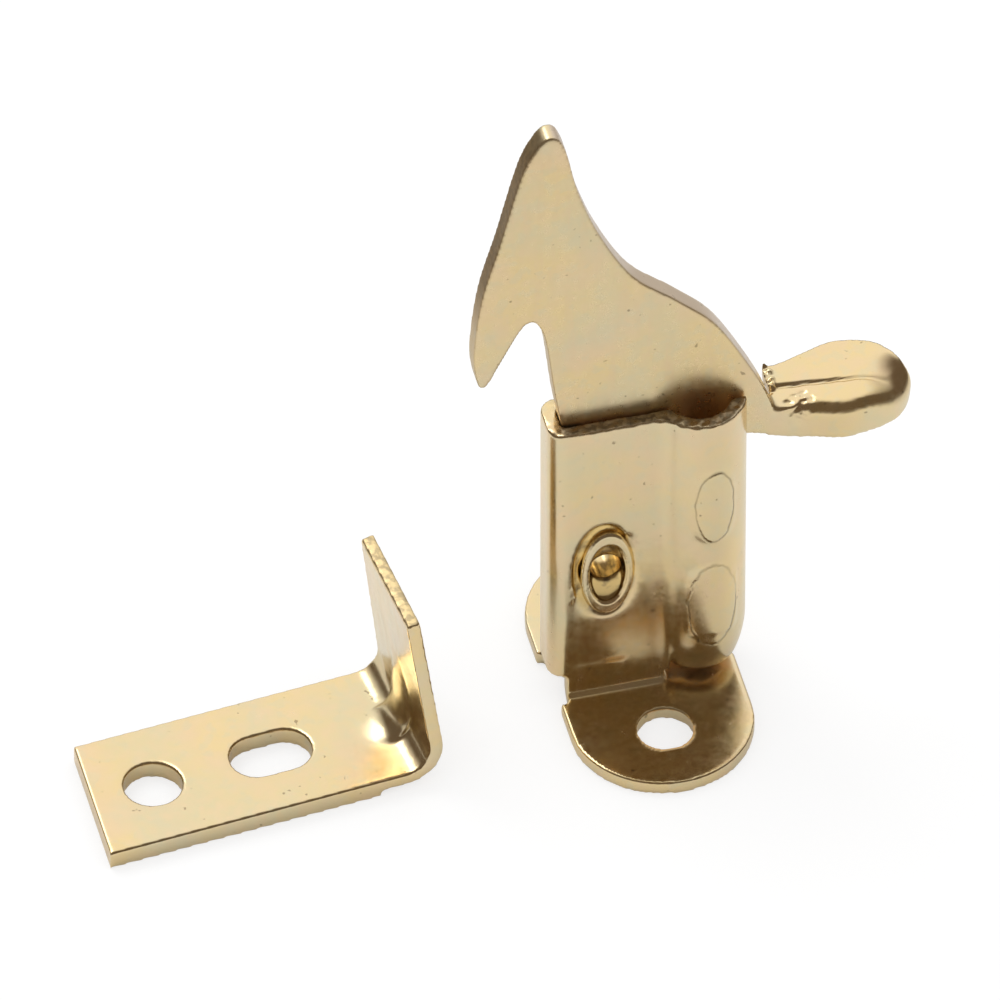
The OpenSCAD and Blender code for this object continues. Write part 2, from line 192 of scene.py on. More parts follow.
def in_run_out(point):
    return JUST_PROUD < point.y < FRONT_SHEET and run_out(point) > LEAST_RUN


for v in case.data.vertices:
    if LEVEL < v.co.y < RECESS_FLOOR:
        v.co.y += run_out(v.co) * (LEVEL - v.co.y)
relax(case, in_run_out, 24)

# %% Mouth of the rivet, flared into one hollow
MOUTH_HALF = (1.3, 2.8)
BORE_R = 1.15
INSIDE_MOUTH = 0.97
ROUND_MOUTH = 1.05
RING_FRONT = -1.95 * MM
TUBE_END = -1.9 * MM
FLARE_FULL = -1.6 * MM
FLARE_FROM = -1.12 * MM
BEHIND_FLARE = -1.1 * MM
pivot_x, pivot_z = (place * MM for place in PIVOT)
widen, heighten = (half / BORE_R - 1 for half in MOUTH_HALF)
for v in rivet.data.vertices:
    if TUBE_END < v.co.y < FLARE_FROM and oval_share(v.co, PIVOT, MOUTH_HALF) < INSIDE_MOUTH:
        flare = ease(v.co.y, FLARE_FROM, FLARE_FULL)
        v.co.x += (v.co.x - pivot_x) * widen * flare
        v.co.z += (v.co.z - pivot_z) * heighten * flare
        past = max(1, oval_share(v.co, PIVOT, MOUTH_HALF))
        v.co.x = pivot_x + (v.co.x - pivot_x) / past
        v.co.z = pivot_z + (v.co.z - pivot_z) / past
for v in case.data.vertices:
    if TUBE_END < v.co.y < BEHIND_FLARE and oval_share(v.co, PIVOT, MOUTH_HALF) < ROUND_MOUTH:
        v.co.y = BEHIND_FLARE
relax(rivet, lambda co: RING_FRONT < co.y < FLARE_FROM and oval_share(co, PIVOT, MOUTH_HALF) < 1, 8)

# %% [markdown]
# ## Marks on the lever
# The thumb tab was hammered hollow over a form, which leaves a crease, a dish and a drooping end, with a
# burr where the cut ends. Inside the case, the plate needs room beside the spring at full swing, so its
# edge is drawn back there. A boolean cut would leave a sharp new edge, while moved points keep the soft
# one.

# %% Crease and dish of the thumb tab
CREASE_FROM = Vector((10.4, 1.45)) * MM
CREASE_TO = Vector((18.2, 0.85)) * MM
CREASE_HALF = 0.2
CREASE_WAVER = 0.08
WAVER_LENGTH = 0.8 * MM
DISH_AT = (15.2, 2.6)
DISH_HALF = (4.2, 1.9)
crease = CREASE_TO - CREASE_FROM
along = crease.normalized()
print("crease", round(crease.length / MM, 1), "mm long")


def crease_share(point):
    off = point.xy - CREASE_FROM
    run = clamp(off.dot(along) / crease.length)
    side = (off.x * along.y - off.y * along.x) / MM + CREASE_WAVER * noise.noise(point / WAVER_LENGTH)
    return (1 - run ** 3) * math.exp(-(side / CREASE_HALF) ** 2)


def dish_share(x, y):
    return clamp(1 - ((x - DISH_AT[0]) / DISH_HALF[0]) ** 2 - ((y - DISH_AT[1]) / DISH_HALF[1]) ** 2)


# %% Tab pressed, with its drooping end
TAB_LEFT = 10.2
TAB_LOW = 20.5
TAB_SKIN = 24.1
FACING_UP = 0.3
CREASE_DEPTH = 0.3 * MM
DISH_DEPTH = 0.16 * MM
DROOP = 1.7 * MM
DROOP_X = (15.6, 20.2)
DROOP_Y = (3.4, 0.2)
DROOP_Z = (20.5, 24.5)
for v in lever.data.vertices:
    x, y, z = v.co / MM
    if x < TAB_LEFT or z < TAB_LOW:
        continue
    droop = ease(x, *DROOP_X) * ease(y, *DROOP_Y) * ease(z, *DROOP_Z)
    if z > TAB_SKIN and v.normal.z > FACING_UP:
        v.co.z -= CREASE_DEPTH * crease_share(v.co)
        v.co.z -= DISH_DEPTH * dish_share(x, y)
    v.co.z -= DROOP * droop
print("tab creased, dished and drooping")

# %% Burr and hammer marks at the tab's neck
NECK = Vector((10.2, -0.3, 24.6)) * MM
NECK_REACH = 1.3 * MM
NECK_LEFT = 9.3
NECK_LOW = 23
DENT_AT = (11.2, -0.2)
DENT_HALF = (1.8, 1.2)
DENT_DEPTH = 0.3 * MM
DENT_Z = (23, 23.6)
DENT_GRAIN = 0.45 * MM
BURR_LOW = 24
BURR_LEAN = 0.75 * MM
LEAN_X = (11.3, 9.9)
LEAN_Y = (0.9, 3.3)
BURR_X = (10.1, 9.65)
BURR_Y = (0.8, 1.1)
BURR_SLANT = 0.05
BURR_GRAIN = 0.4 * MM
relax(lever, lambda co: (co - NECK).length < NECK_REACH, 20)
for v in lever.data.vertices:
    x, y, z = v.co / MM
    if z < NECK_LOW or x < NECK_LEFT:
        continue
    dent = ease(abs(x - DENT_AT[0]), DENT_HALF[0], 0) * ease(abs(y - DENT_AT[1]), DENT_HALF[1], 0)
    blow = clamp(0.4 + 1.4 * noise.noise(v.co / DENT_GRAIN)) * ramp(z, *DENT_Z)
    v.co -= v.normal * DENT_DEPTH * dent * blow
    if z > BURR_LOW:
        v.co.x -= BURR_LEAN * ramp(x, *LEAN_X) * ramp(y, *LEAN_Y)
        near_cut = ramp(v.co.x / MM - BURR_SLANT * y, *BURR_X) * ramp(y, *BURR_Y)
        ragged = clamp(0.45 + noise.noise(v.co / BURR_GRAIN))
        v.co.z += (0.4 + 0.15 * y) * MM * near_cut * ragged
print("burr raised")

# %% Lever cut back beside the spring
SWING = math.radians(14)
COIL_CLEAR = 0.2
CUT_BAND = 1.5
EDGE_LOW = (-0.1, 12.6)
EDGE_HIGH = (1.3, 23.15)
EDGE_SKIN = 1.0
coil_low, coil_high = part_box("spring")
coil_side = coil_low[0] / MM - COIL_CLEAR - PIVOT[0]
edge_slope = (EDGE_HIGH[0] - EDGE_LOW[0]) / (EDGE_HIGH[1] - EDGE_LOW[1])
for v in lever.data.vertices:
    x, _, z = v.co / MM
    if not EDGE_LOW[1] < z < coil_high[2] / MM:
        continue
    edge = EDGE_LOW[0] + edge_slope * (z - EDGE_LOW[1])
    limit = PIVOT[0] + (coil_side - (z - PIVOT[1]) * math.sin(SWING)) / math.cos(SWING)
    start = limit - CUT_BAND
    if limit < edge and start < x < edge + EDGE_SKIN:
        v.co.x = (start + (x - start) * CUT_BAND / (edge - start)) * MM
print("lever cut back")

# %% [markdown]
# ## Dimple of the strike
# One blow into the bend stiffens the strike and leaves a shallow, smooth pillow in its corner. The
# measured part has a plain straight ridge there. The skin is pressed into the corner by two thirds of the
# ridge's height, then struck a little to the front and relaxed, because a drawn dimple has no edges of
# its own.

# %% Ridge pressed into the bend
STRIKE_AT = Vector((-41.3, -9.8))
STRIKE_TURN = math.radians(6.5)
LIP_LEAN = math.radians(7)
CORNER_DIP = math.radians(24)
BEND = Vector((22.4, 3.3))
BEND_R = 1.8
PRESSED = 0.66
LEAST_RIDGE = 0.02
STRIKE_WAY = Vector((math.cos(STRIKE_TURN), math.sin(STRIKE_TURN)))
LIP_WAY = Vector((math.cos(LIP_LEAN), math.sin(LIP_LEAN)))
LIP_UP = Vector((-LIP_WAY.y, LIP_WAY.x))
INTO_CORNER = Vector((math.cos(CORNER_DIP), -math.sin(CORNER_DIP)))


def depth_to_bend(at):
    off = at - BEND
    to_leg = (off.y + BEND_R) / -INTO_CORNER.y
    to_lip = (BEND_R - off.dot(LIP_WAY)) / INTO_CORNER.dot(LIP_WAY)
    straight = min(to_leg, to_lip)
    met = off + INTO_CORNER * straight
    if met.x < 0 or met.dot(LIP_UP) > 0:
        return straight
    middle = -off.dot(INTO_CORNER)
    half_chord = BEND_R ** 2 - off.length_squared + middle ** 2
    return middle + math.sqrt(max(0.0, half_chord))


highest = 0.0
for v in strike.data.vertices:
    at = Vector(((v.co.xy / MM - STRIKE_AT).dot(STRIKE_WAY), v.co.z / MM))
    proud = depth_to_bend(at)
    if proud > LEAST_RIDGE:
        highest = max(highest, proud)
        pressed = INTO_CORNER * PRESSED * proud * MM
        v.co += Vector((*(STRIKE_WAY * pressed.x), pressed.y))
print("ridge stood", round(highest, 2), "mm proud")

# %% Dimple struck towards the front and drawn smooth
DIMPLE = Vector((-19.6, -1.9, 3.4)) * MM
DIMPLE_SHIFT = 0.35 * MM
STRUCK_OUT = 5.2 * MM
STRUCK_FULL = 2.0 * MM
for v in strike.data.vertices:
    v.co.y -= DIMPLE_SHIFT * ease((v.co - DIMPLE).length, STRUCK_OUT, STRUCK_FULL)
DIMPLE.y -= DIMPLE_SHIFT
for reach, times in [(4.4 * MM, 10), (3.4 * MM, 16)]:
    relax(strike, lambda co: (co - DIMPLE).length < reach, times)

# %% [markdown]
# ## Where the plating is thin, with painted light and shade
# Edges that were sheared after plating are dull and grainy. On the lever the edges that face left also
# get a painted shade, and its back edge, where it faces up and right, a pale painted light. The inside of
# the case is matt, and its bright brown is a painted reflection of the golden glow inside the barrel.
# Painting by hand would be lost when the mesh is made again. So a rule gives every point a share from 0
# to 1, by its place and the way it faces, and the finishes read that share as an attribute.

# %% Shares kept on the points
def mark(piece, name, share):
    values = piece.data.attributes.new(name, "FLOAT", "POINT")
    for v, value in zip(piece.data.vertices, values.data):
        value.value = share(v.co / MM, v.normal)
    print(piece.name, "marked", name)


def off_the_faces(flat):
    return ramp(flat, 0.8, 0.45)


# %% Sheared edges, with painted shade on the lever's left edges
TAB_LEVEL = Vector((0, 0.05, 1))


def lever_cut_and_shade(at, normal):
    flat = max(abs(normal.y), abs(normal.dot(TAB_LEVEL)))
    # The lever's edges that face left get a painted shade, strongest near the top of the hook.
    shaded_left = max(0.0, -normal.x) * (0.4 + 0.6 * ramp(at.z, 37, 42))
    return off_the_faces(flat) * (0.08 + 0.9 * shaded_left)


def rim_cut(at, normal):
    top = ramp(normal.z, 0.75, 0.9) * ramp(at.z - rim / MM, -0.9, -0.6)
    barrel = ease(abs(at.x - 2.2), 2.4, 0)
    flecks = clamp(0.85 + 1.3 * noise.noise(at / 0.45) - 0.4 * barrel)
    return top * flecks * ramp(at.x, -6.6, -5.8)


def lip_cut(at, normal):
    return ramp(normal.z, 0.6, 0.9) * ramp(at.z, 12, 13)


mark(lever, "sheared", lever_cut_and_shade)
mark(strike, "sheared", lip_cut)
mark(case, "sheared", rim_cut)

# %% Matt inside with a painted reflection, and back edge with painted light
# Faces inside the case turn matt, and their bright brown is a painted reflection of the golden glow
# there.
def case_inside_reflection(at, normal):
    inwards = ramp(-at.y * normal.y, 0.2, 0.6)
    return inwards * ramp(at.x, -5, -4.5) * ramp(rim / MM - at.z, 0.1, 0.4)


# The lever's back edge, where it faces right and up, is matt with a pale painted light.
def lit_back_edge(at, normal):
    return off_the_faces(abs(normal.y)) * ramp(normal.x, 0.05, 0.35) * ramp(at.z, 27, 30)


mark(case, "matte_and_painted_light", case_inside_reflection)
mark(lever, "matte_and_painted_light", lit_back_edge)

# %% [markdown]
# ## The spring
# A compression spring is one wire wound on a mandrel, with its last turn at each end laid flat against
# its neighbour. That is a rule, so a node tree makes it: a straight line is bent into a helix by its own
# length, and a round section is swept along it.

# %% Helpers for nodes
def link(tree, value, socket):
    if isinstance(value, (int, float)):
        socket.default_value = value
    else:
        tree.links.new(value, socket)


def math_node(tree, how, a, b):
    made = tree.nodes.new("ShaderNodeMath")
    made.operation = how
    link(tree, a, made.inputs[0])
    link(tree, b, made.inputs[1])
    return made.outputs[0]


# %% Place of each point of the wire
CLOSED_PITCH = 1.05


def coil_place(tree, given):
    calc = partial(math_node, tree)
    share = tree.nodes.new("GeometryNodeSplineParameter").outputs["Factor"]
    turn = calc("MULTIPLY", share, given["Turns"])
    angle = calc("MULTIPLY", turn, 2 * math.pi)
    closed = calc("MULTIPLY", given["Wire"], CLOSED_PITCH)
    open_turns = calc("SUBTRACT", given["Turns"], 2.0)
    open_height = calc("SUBTRACT", given["Height"], calc("MULTIPLY", closed, 2.0))
    first = calc("MINIMUM", turn, 1.0)
    opened = calc("MAXIMUM", calc("SUBTRACT", turn, 1.0), 0.0)
    opened = calc("MINIMUM", opened, open_turns)
    last = calc("SUBTRACT", turn, calc("SUBTRACT", given["Turns"], 1.0))
    last = calc("MAXIMUM", last, 0.0)
    end_height = calc("MULTIPLY", calc("ADD", first, last), closed)
    middle_height = calc("MULTIPLY", opened, calc("DIVIDE", open_height, open_turns))
    place = tree.nodes.new("ShaderNodeCombineXYZ")
    link(tree, calc("MULTIPLY", calc("COSINE", angle, 0.0), given["Radius"]), place.inputs["X"])
    link(tree, calc("MULTIPLY", calc("SINE", angle, 0.0), given["Radius"]), place.inputs["Y"])
    link(tree, calc("ADD", end_height, middle_height), place.inputs["Z"])
    return place.outputs["Vector"]


# %% Coil from nodes
COIL_INPUTS = {"Turns": "Float", "Radius": "Float", "Height": "Float", "Wire": "Float",
               "Finish": "Material"}
WIRE_POINTS = 481
WIRE_SIDES = 14


def coil_tree():
    tree = bpy.data.node_groups.new("coil", "GeometryNodeTree")
    for name, kind in COIL_INPUTS.items():
        tree.interface.new_socket(name, in_out="INPUT", socket_type="NodeSocket" + kind)
    tree.interface.new_socket("Geometry", in_out="OUTPUT", socket_type="NodeSocketGeometry")
    given = tree.nodes.new("NodeGroupInput").outputs
    line = tree.nodes.new("GeometryNodeCurvePrimitiveLine")
    even = tree.nodes.new("GeometryNodeResampleCurve")
    even.inputs["Count"].default_value = WIRE_POINTS
    bend = tree.nodes.new("GeometryNodeSetPosition")
    section = tree.nodes.new("GeometryNodeCurvePrimitiveCircle")
    section.inputs["Resolution"].default_value = WIRE_SIDES
    sweep = tree.nodes.new("GeometryNodeCurveToMesh")
    sweep.inputs["Fill Caps"].default_value = True
    real = tree.nodes.new("GeometryNodeRealizeInstances")
    paint = tree.nodes.new("GeometryNodeSetMaterial")
    out = tree.nodes.new("NodeGroupOutput")
    link(tree, line.outputs["Curve"], even.inputs["Curve"])
    link(tree, even.outputs["Curve"], bend.inputs["Geometry"])
    link(tree, coil_place(tree, given), bend.inputs["Position"])
    link(tree, math_node(tree, "MULTIPLY", given["Wire"], 0.5), section.inputs["Radius"])
    link(tree, bend.outputs["Geometry"], sweep.inputs["Curve"])
    link(tree, section.outputs["Curve"], sweep.inputs["Profile Curve"])
    link(tree, sweep.outputs["Mesh"], real.inputs["Geometry"])
    link(tree, real.outputs["Geometry"], paint.inputs["Geometry"])
    link(tree, given["Finish"], paint.inputs["Material"])
    link(tree, paint.outputs["Geometry"], out.inputs["Geometry"])
    print("coil tree", len(tree.nodes), "nodes")
    return tree


# %% [markdown]
# ## The plating
# Pressed steel with a pale yellow passivated plating: a metal that is almost white gold, with clouds of
# pink and grey where the bath left a thicker film, fine pits, and dull grain on the edges that were
# sheared. All of it comes from noise in the piece's own space, so that it stays in place when the lever
# swings.

# %% Helpers for finishes
def noise_value(tree, coords, per_mm, detail, stretch=(1, 1, 1)):
    place = tree.nodes.new("ShaderNodeMapping")
    place.inputs["Scale"].default_value = [s * per_mm / MM for s in stretch]
    link(tree, coords, place.inputs["Vector"])
    grain = tree.nodes.new("ShaderNodeTexNoise")
    grain.inputs["Scale"].default_value = 1.0
    grain.inputs["Detail"].default_value = detail
    link(tree, place.outputs["Vector"], grain.inputs["Vector"])
    return grain.outputs["Fac"]


def spread(tree, value, low, high, to_low, to_high):
    made = tree.nodes.new("ShaderNodeMapRange")
    for socket, number in zip(list(made.inputs)[1:5], (low, high, to_low, to_high)):
        socket.default_value = number
    link(tree, value, made.inputs[0])
    return made.outputs[0]


def mix_colour(tree, share, a, b):
    made = tree.nodes.new("ShaderNodeMix")
    made.data_type = "RGBA"
    link(tree, share, made.inputs["Factor"])
    for socket, colour in ((made.inputs[6], a), (made.inputs[7], b)):
        if isinstance(colour, tuple):
            socket.default_value = (*colour, 1)
        else:
            link(tree, colour, socket)
    return made.outputs[2]


# %% Places on a piece, as nodes
def split(tree, coords):
    parts = tree.nodes.new("ShaderNodeSeparateXYZ")
    link(tree, coords, parts.inputs[0])
    return parts.outputs


def kept_share(tree, name):
    kept = tree.nodes.new("ShaderNodeAttribute")
    kept.attribute_name = name
    return kept.outputs["Fac"]


def oval_distance(tree, coords, middle, half):
    calc = partial(math_node, tree)
    x, _, z = split(tree, coords)
    across = calc("DIVIDE", calc("SUBTRACT", x, middle[0] * MM), half[0] * MM)
    up = calc("DIVIDE", calc("SUBTRACT", z, middle[1] * MM), half[1] * MM)
    squares = calc("ADD", calc("MULTIPLY", across, across), calc("MULTIPLY", up, up))
    return calc("POWER", squares, 0.5)


# %% Clouded film with pits and grain
def clouded_film(tree, coords, tones, gloss):
    calc = partial(math_node, tree)
    between = partial(spread, tree)
    blend = partial(mix_colour, tree)
    yellow, pink, grey, dull = tones
    cloud = noise_value(tree, coords, 0.22, 3)
    film = noise_value(tree, coords, 0.13, 4)
    blotch = noise_value(tree, coords, 0.9, 6)
    grain = noise_value(tree, coords, 2.2, 4)
    speck = noise_value(tree, coords, 1.7, 1)
    streak = noise_value(tree, coords, 1.2, 3, (1, 1, 0.12))
    waves = noise_value(tree, coords, 0.3, 1)
    tint = blend(between(cloud, 0.48, 0.66, 0, 0.8), yellow, pink)
    tint = blend(between(film, 0.45, 0.62, 0, 0.6), tint, grey)
    tint = blend(between(blotch, 0.52, 0.62, 0, 0.3), tint, pink)
    tint = blend(between(blotch, 0.46, 0.38, 0, 0.35), tint, grey)
    tint = blend(between(streak, 0.52, 0.66, 0, 0.35), tint, pink)
    tint = blend(between(speck, 0.74, 0.8, 0, 0.6), tint, dull)
    rough = calc("ADD", between(grain, 0.3, 0.7, gloss, gloss + 0.07), between(streak, 0.4, 0.7, 0, 0.05))
    height = calc("ADD", calc("MULTIPLY", waves, 0.05), calc("MULTIPLY", grain, 0.0012))
    height = calc("ADD", height, calc("MULTIPLY", blotch, 0.008))
    return {"tint": tint, "rough": rough, "height": height, "metal": 1.0,
            "film": film, "blotch": blotch, "grain": grain}


# %% Sheared, rubbed and matt places, with painted light and shade
def add_sheared(tree, look, colours):
    calc = partial(math_node, tree)
    # The share is dull sheared grain, and on the lever it is also a painted shade on the edges that face
    # left.
    cut = kept_share(tree, "sheared")
    torn = mix_colour(tree, spread(tree, look["grain"], 0.45, 0.6, 0, 1), *colours)
    look["tint"] = mix_colour(tree, calc("MULTIPLY", cut, 0.95), look["tint"], torn)
    look["rough"] = calc("ADD", look["rough"], calc("MULTIPLY", cut, 0.25))
    grit = calc("MULTIPLY", calc("MULTIPLY", cut, look["grain"]), 0.05)
    look["height"] = calc("ADD", look["height"], grit)


def add_rubbed(tree, look, coords, low, high, more):
    worn = spread(tree, split(tree, coords)[0], low * MM, high * MM, more, 0)
    look["rough"] = math_node(tree, "ADD", look["rough"], worn)


def add_matte_and_painted_light(tree, look, colour):
    # Matt share: inside the case its brown is a painted reflection, on the lever's back edge a pale
    # painted light.
    matte_and_light_share = kept_share(tree, "matte_and_painted_light")
    look["tint"] = mix_colour(tree, matte_and_light_share, look["tint"], colour)
    look["metal"] = spread(tree, matte_and_light_share, 0, 1, 1, 0.1)


# %% Rings that the press left on the barrel
RING_LINE = 0.06


def add_press_ring(tree, look, coords, middle, half, dull):
    calc = partial(math_node, tree)
    uneven = calc("MULTIPLY", calc("SUBTRACT", look["blotch"], 0.5), 0.2)
    away = calc("ADD", oval_distance(tree, coords, middle, half), uneven)
    off_line = calc("ABSOLUTE", calc("SUBTRACT", away, 1.0), 0.0)
    line = spread(tree, off_line, 0, RING_LINE, 1, 0)
    line = calc("MULTIPLY", line, spread(tree, look["film"], 0.4, 0.55, 0.35, 1))
    front = spread(tree, split(tree, coords)[1], -1.5 * MM, -1.2 * MM, 1, 0)
    line = calc("MULTIPLY", line, front)
    look["tint"] = mix_colour(tree, calc("MULTIPLY", line, 0.6), look["tint"], dull)
    look["height"] = calc("SUBTRACT", look["height"], calc("MULTIPLY", line, 0.05))


# %% Amber in the hollows, with painted shade towards their bottom
AMBER = (0.86, 0.62, 0.25)


def add_amber(tree, look, coords, middle, half, face, floor_depth, dull):
    calc = partial(math_node, tree)
    between = partial(spread, tree)
    _, back, up = split(tree, coords)
    within = between(oval_distance(tree, coords, middle, half), 0.97, 1.03, 1, 0)
    deep = between(back, face * MM, (face + floor_depth) * MM, 0, 1)
    deep = calc("MULTIPLY", deep, between(back, 0.3 * MM, 0.6 * MM, 1, 0))
    # Darker towards the bottom of each hollow, a painted shade, with the film's dark blotches added on
    # top.
    low_shade_and_blotch = between(up, (middle[1] - half[1]) * MM, middle[1] * MM, 0.6, 0)
    low_shade_and_blotch = calc("ADD", low_shade_and_blotch, between(look["blotch"], 0.48, 0.62, 0, 0.7))
    amber_with_shade = mix_colour(tree, low_shade_and_blotch, AMBER, dull)
    look["tint"] = mix_colour(tree, calc("MULTIPLY", within, deep), look["tint"], amber_with_shade)


# %% One plating from its parts
BUMP_STRENGTH = 0.8


def plating(name, tones, gloss, sheared=None, rubbed=None, matte_and_painted_light=None, ovals=(), amber=None):
    finish = bpy.data.materials.new(name)
    finish.use_nodes = True
    tree = finish.node_tree
    dull = tones[-1]
    coords = tree.nodes.new("ShaderNodeTexCoord").outputs["Object"]
    look = clouded_film(tree, coords, tones, gloss)
    if sheared:
        add_sheared(tree, look, sheared)
    if rubbed:
        add_rubbed(tree, look, coords, *rubbed)
    if matte_and_painted_light:
        add_matte_and_painted_light(tree, look, matte_and_painted_light)
    for middle, half in ovals:
        add_press_ring(tree, look, coords, middle, half, dull)
    if amber:
        add_amber(tree, look, coords, *amber, dull)
    bump = tree.nodes.new("ShaderNodeBump")
    bump.inputs["Distance"].default_value = MM
    bump.inputs["Strength"].default_value = BUMP_STRENGTH
    link(tree, look["height"], bump.inputs["Height"])
    shader = tree.nodes["Principled BSDF"]
    link(tree, look["tint"], shader.inputs["Base Color"])
    link(tree, look["rough"], shader.inputs["Roughness"])
    link(tree, look["metal"], shader.inputs["Metallic"])
    link(tree, bump.outputs["Normal"], shader.inputs["Normal"])
    print("finish", name, len(tree.nodes), "nodes")
    return finish


# %% Colours of the plating and the steel
PALE = (0.78, 0.61, 0.325)
PINK = (0.78, 0.595, 0.37)
GREY = (0.67, 0.6, 0.4)
DULL = (0.2, 0.145, 0.08)
PLATED = (PALE, PINK, GREY, DULL)
STEEL = ((0.42, 0.4, 0.37), (0.4, 0.38, 0.36), (0.38, 0.38, 0.38), (0.2, 0.19, 0.17))
# Bright brown inside the case, a painted reflection of the golden glow there.
INSIDE_BROWN_REFLECTION = (0.93, 0.6, 0.26)
# Pale painted light on the lever's back edge.
BACK_EDGE_PAINTED_LIGHT = (0.62, 0.5, 0.37)
TORN_RIM = ((0.36, 0.3, 0.2), (0.8, 0.7, 0.5))
# Dark browns of the lever's cut edges, mostly a painted shade on those that face left.
CUT_LEVER_SHADED = ((0.25, 0.17, 0.08), (0.34, 0.23, 0.11))
CUT_LIP = (PALE, (0.5, 0.4, 0.23))
print("colours of", len(PLATED), "plating tones")

# %% A finish for each piece
BARREL_MARKS = [((4.45, 19.0), (1.45, 3.4)), ((4.35, 9.2), (1.8, 4.0))]
RECESS_AMBER = (RECESS_AT, (2.45, 4.85), -2.02, 0.3)
MOUTH_AMBER = (PIVOT, (1.4, 2.9), -1.9, 0.25)
RUBBED_TAB = (8, 9.5, 0.1)
finishes = {
    case: plating("case_plating", PLATED, 0.17, sheared=TORN_RIM, matte_and_painted_light=INSIDE_BROWN_REFLECTION, ovals=BARREL_MARKS,
                  amber=RECESS_AMBER),
    lever: plating("lever_plating", PLATED, 0.15, sheared=CUT_LEVER_SHADED, rubbed=RUBBED_TAB,
                   matte_and_painted_light=BACK_EDGE_PAINTED_LIGHT),
    strike: plating("strike_plating", PLATED, 0.16, sheared=CUT_LIP),
    rivet: plating("rivet_plating", PLATED, 0.15, amber=MOUTH_AMBER),
}
for piece, finish in finishes.items():
    piece.data.materials.append(finish)
wire = plating("spring_wire", STEEL, 0.2)

# %% Winding the spring
WIRE_D = 0.6 * MM
COIL_R = 1.9 * MM
TURNS = 10.0
coil_x = (coil_low[0] + coil_high[0]) / 2
coil_h = coil_high[2] - coil_low[2] - WIRE_D
coil_mesh = bpy.data.meshes.new("spring_coil")
spring = bpy.data.objects.new("spring_coil", coil_mesh)
bpy.context.scene.collection.objects.link(spring)
wound = spring.modifiers.new("coil", "NODES")
wound.node_group = coil_tree()
coil_sizes = {"Turns": TURNS, "Radius": COIL_R, "Height": coil_h, "Wire": WIRE_D, "Finish": wire}
for item in wound.node_group.interface.items_tree:
    if item.in_out == "INPUT":
        wound[item.identifier] = coil_sizes[item.name]
bpy.context.view_layer.update()
seen_coil = spring.evaluated_get(bpy.context.evaluated_depsgraph_get())
spring.data = bpy.data.meshes.new_from_object(seen_coil)
spring.modifiers.clear()
for v in spring.data.vertices:
    v.co += Vector((coil_x, 0, coil_low[2] + WIRE_D / 2))
spring.data.shade_smooth()
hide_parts("spring")
print("spring", len(spring.data.vertices), "points")

# %% Riding on the bodies
CASE_SLOTS = {case: "plated_case", rivet: "plated_rivet", strike: "plated_strike", spring: "spring_wire"}
for piece, slot in CASE_SLOTS.items():
    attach(piece, "case")
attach(lever, "lever")
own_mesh(spring)
print(len(CASE_SLOTS), "pieces ride on the case, one on the lever")

# %% [markdown]
# ## Light, floor and camera
# The catch stands on white paper in a dim room with one bright wall behind. A polished plate shows what
# it faces: upright faces show the paper, level faces the wall, and every bend between them the dark of
# the room. Painted reflections would slide when the view turns, so the room itself is made: one soft
# patch of light, and paper that ends some way off, where only reflections see its end.

# %% Surroundings
BRIGHT_WALL = Vector((0.12, 0.72, 0.68)).normalized()
WALL_COLOUR = (1.14, 1.13, 1.12)
DIM_ROOM = (0.14, 0.105, 0.075)
EVEN_LIGHT = (0.9, 0.9, 0.9)
SEEN_WHITE = (1.0, 1.0, 1.0)
world = bpy.data.worlds.new("room")
bpy.context.scene.world = world
world.use_nodes = True
room = world.node_tree
towards = room.nodes.new("ShaderNodeVectorMath")
towards.operation = "DOT_PRODUCT"
towards.inputs[1].default_value = BRIGHT_WALL
link(room, room.nodes.new("ShaderNodeTexCoord").outputs["Generated"], towards.inputs[0])
lit = spread(room, towards.outputs["Value"], 0.55, 0.86, 0, 1)
ray = room.nodes.new("ShaderNodeLightPath").outputs
colour = mix_colour(room, lit, DIM_ROOM, WALL_COLOUR)
colour = mix_colour(room, ray["Is Glossy Ray"], EVEN_LIGHT, colour)
colour = mix_colour(room, ray["Is Camera Ray"], colour, SEEN_WHITE)
link(room, colour, room.nodes["Background"].inputs["Color"])
print("room with a bright wall towards", [round(c, 2) for c in BRIGHT_WALL])

# %% Paper floor
PAPER_HALF = 1.5
PAPER_DROP = 0.02 * MM
corners = [(-PAPER_HALF, -PAPER_HALF, 0), (PAPER_HALF, -PAPER_HALF, 0),
           (PAPER_HALF, PAPER_HALF, 0), (-PAPER_HALF, PAPER_HALF, 0)]
floor_mesh = bpy.data.meshes.new("paper")
floor_mesh.from_pydata(corners, [], [(0, 1, 2, 3)])
floor = bpy.data.objects.new("paper", floor_mesh)
bpy.context.scene.collection.objects.link(floor)
floor.location.z = -PAPER_DROP
print("paper", 2 * PAPER_HALF, "m wide")

# %% White of the paper, and its far end in reflections
PAPER_WHITE = (0.93, 0.93, 0.93)
PAPER_END = (0.2, 0.17, 0.14)
END_FROM = 70 * MM
END_FULL = 160 * MM
GLOW = 1.09
GLOW_SHARE = 0.65
paper = bpy.data.materials.new("paper")
paper.use_nodes = True
sheet = paper.node_tree
matt = sheet.nodes["Principled BSDF"]
matt.inputs["Roughness"].default_value = 0.9
glow = sheet.nodes.new("ShaderNodeEmission")
glow.inputs["Color"].default_value = (1, 1, 1, 1)
glow.inputs["Strength"].default_value = GLOW
seen_by_camera = sheet.nodes.new("ShaderNodeLightPath").outputs["Is Camera Ray"]
both = sheet.nodes.new("ShaderNodeMixShader")
link(sheet, math_node(sheet, "MULTIPLY", seen_by_camera, GLOW_SHARE), both.inputs[0])
link(sheet, matt.outputs["BSDF"], both.inputs[1])
link(sheet, glow.outputs["Emission"], both.inputs[2])
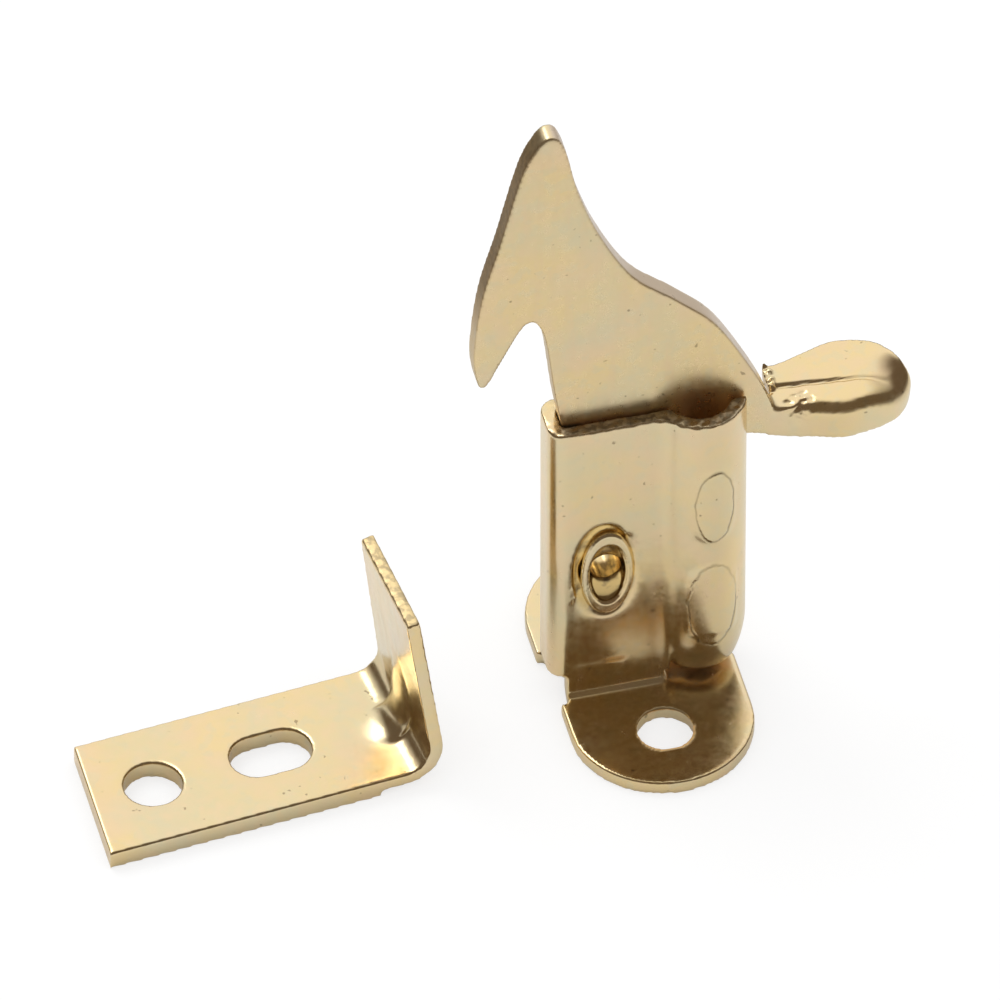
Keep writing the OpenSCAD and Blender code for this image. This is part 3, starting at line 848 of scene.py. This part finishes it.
link(sheet, both.outputs["Shader"], sheet.nodes["Material Output"].inputs["Surface"])
distance = sheet.nodes.new("ShaderNodeVectorMath")
distance.operation = "LENGTH"
link(sheet, sheet.nodes.new("ShaderNodeNewGeometry").outputs["Position"], distance.inputs[0])
ended = spread(sheet, distance.outputs["Value"], END_FROM, END_FULL, 0, 1)
ended = math_node(sheet, "MULTIPLY", ended, math_node(sheet, "SUBTRACT", 1.0, seen_by_camera))
link(sheet, mix_colour(sheet, ended, PAPER_WHITE, PAPER_END), matt.inputs["Base Color"])
floor_mesh.materials.append(paper)
print("paper ends in reflections", round(END_FULL / MM), "mm away")

# %% Soft lamp
LAMP_SIDE = 0.25
LAMP_AT = Vector((-0.18, 0.25, 0.42))
LAMP_AIM = Vector((0, 0, 0.02))
lamp_data = bpy.data.lights.new("window", "AREA")
lamp_data.shape = "RECTANGLE"
lamp_data.size = LAMP_SIDE
lamp_data.size_y = LAMP_SIDE
lamp_data.energy = 0.45
lamp = bpy.data.objects.new("window", lamp_data)
lamp.location = LAMP_AT
lamp.rotation_euler = (LAMP_AIM - LAMP_AT).to_track_quat("-Z", "Y").to_euler()
bpy.context.scene.collection.objects.link(lamp)
print("lamp", lamp_data.energy, "W")

# %% Camera
AIM = Vector((-7.70, 10.92, 8.72)) * MM
AZIMUTH = math.radians(-14)
ELEVATION = math.radians(45)
DISTANCE = 2.0
level = math.cos(ELEVATION)
CAMERA_SIDE = Vector((math.sin(AZIMUTH) * level, -math.cos(AZIMUTH) * level, math.sin(ELEVATION)))
camera_data = bpy.data.cameras.new("camera")
camera_data.sensor_width = 36
camera_data.lens = 1009
camera_data.clip_end = 10
camera = bpy.data.objects.new("camera", camera_data)
camera.location = AIM + CAMERA_SIDE * DISTANCE
camera.rotation_euler = (-CAMERA_SIDE).to_track_quat("-Z", "Y").to_euler()
bpy.context.scene.collection.objects.link(camera)
bpy.context.scene.camera = camera
bpy.context.scene.view_settings.view_transform = "Standard"
print("camera", camera_data.lens, "mm lens")
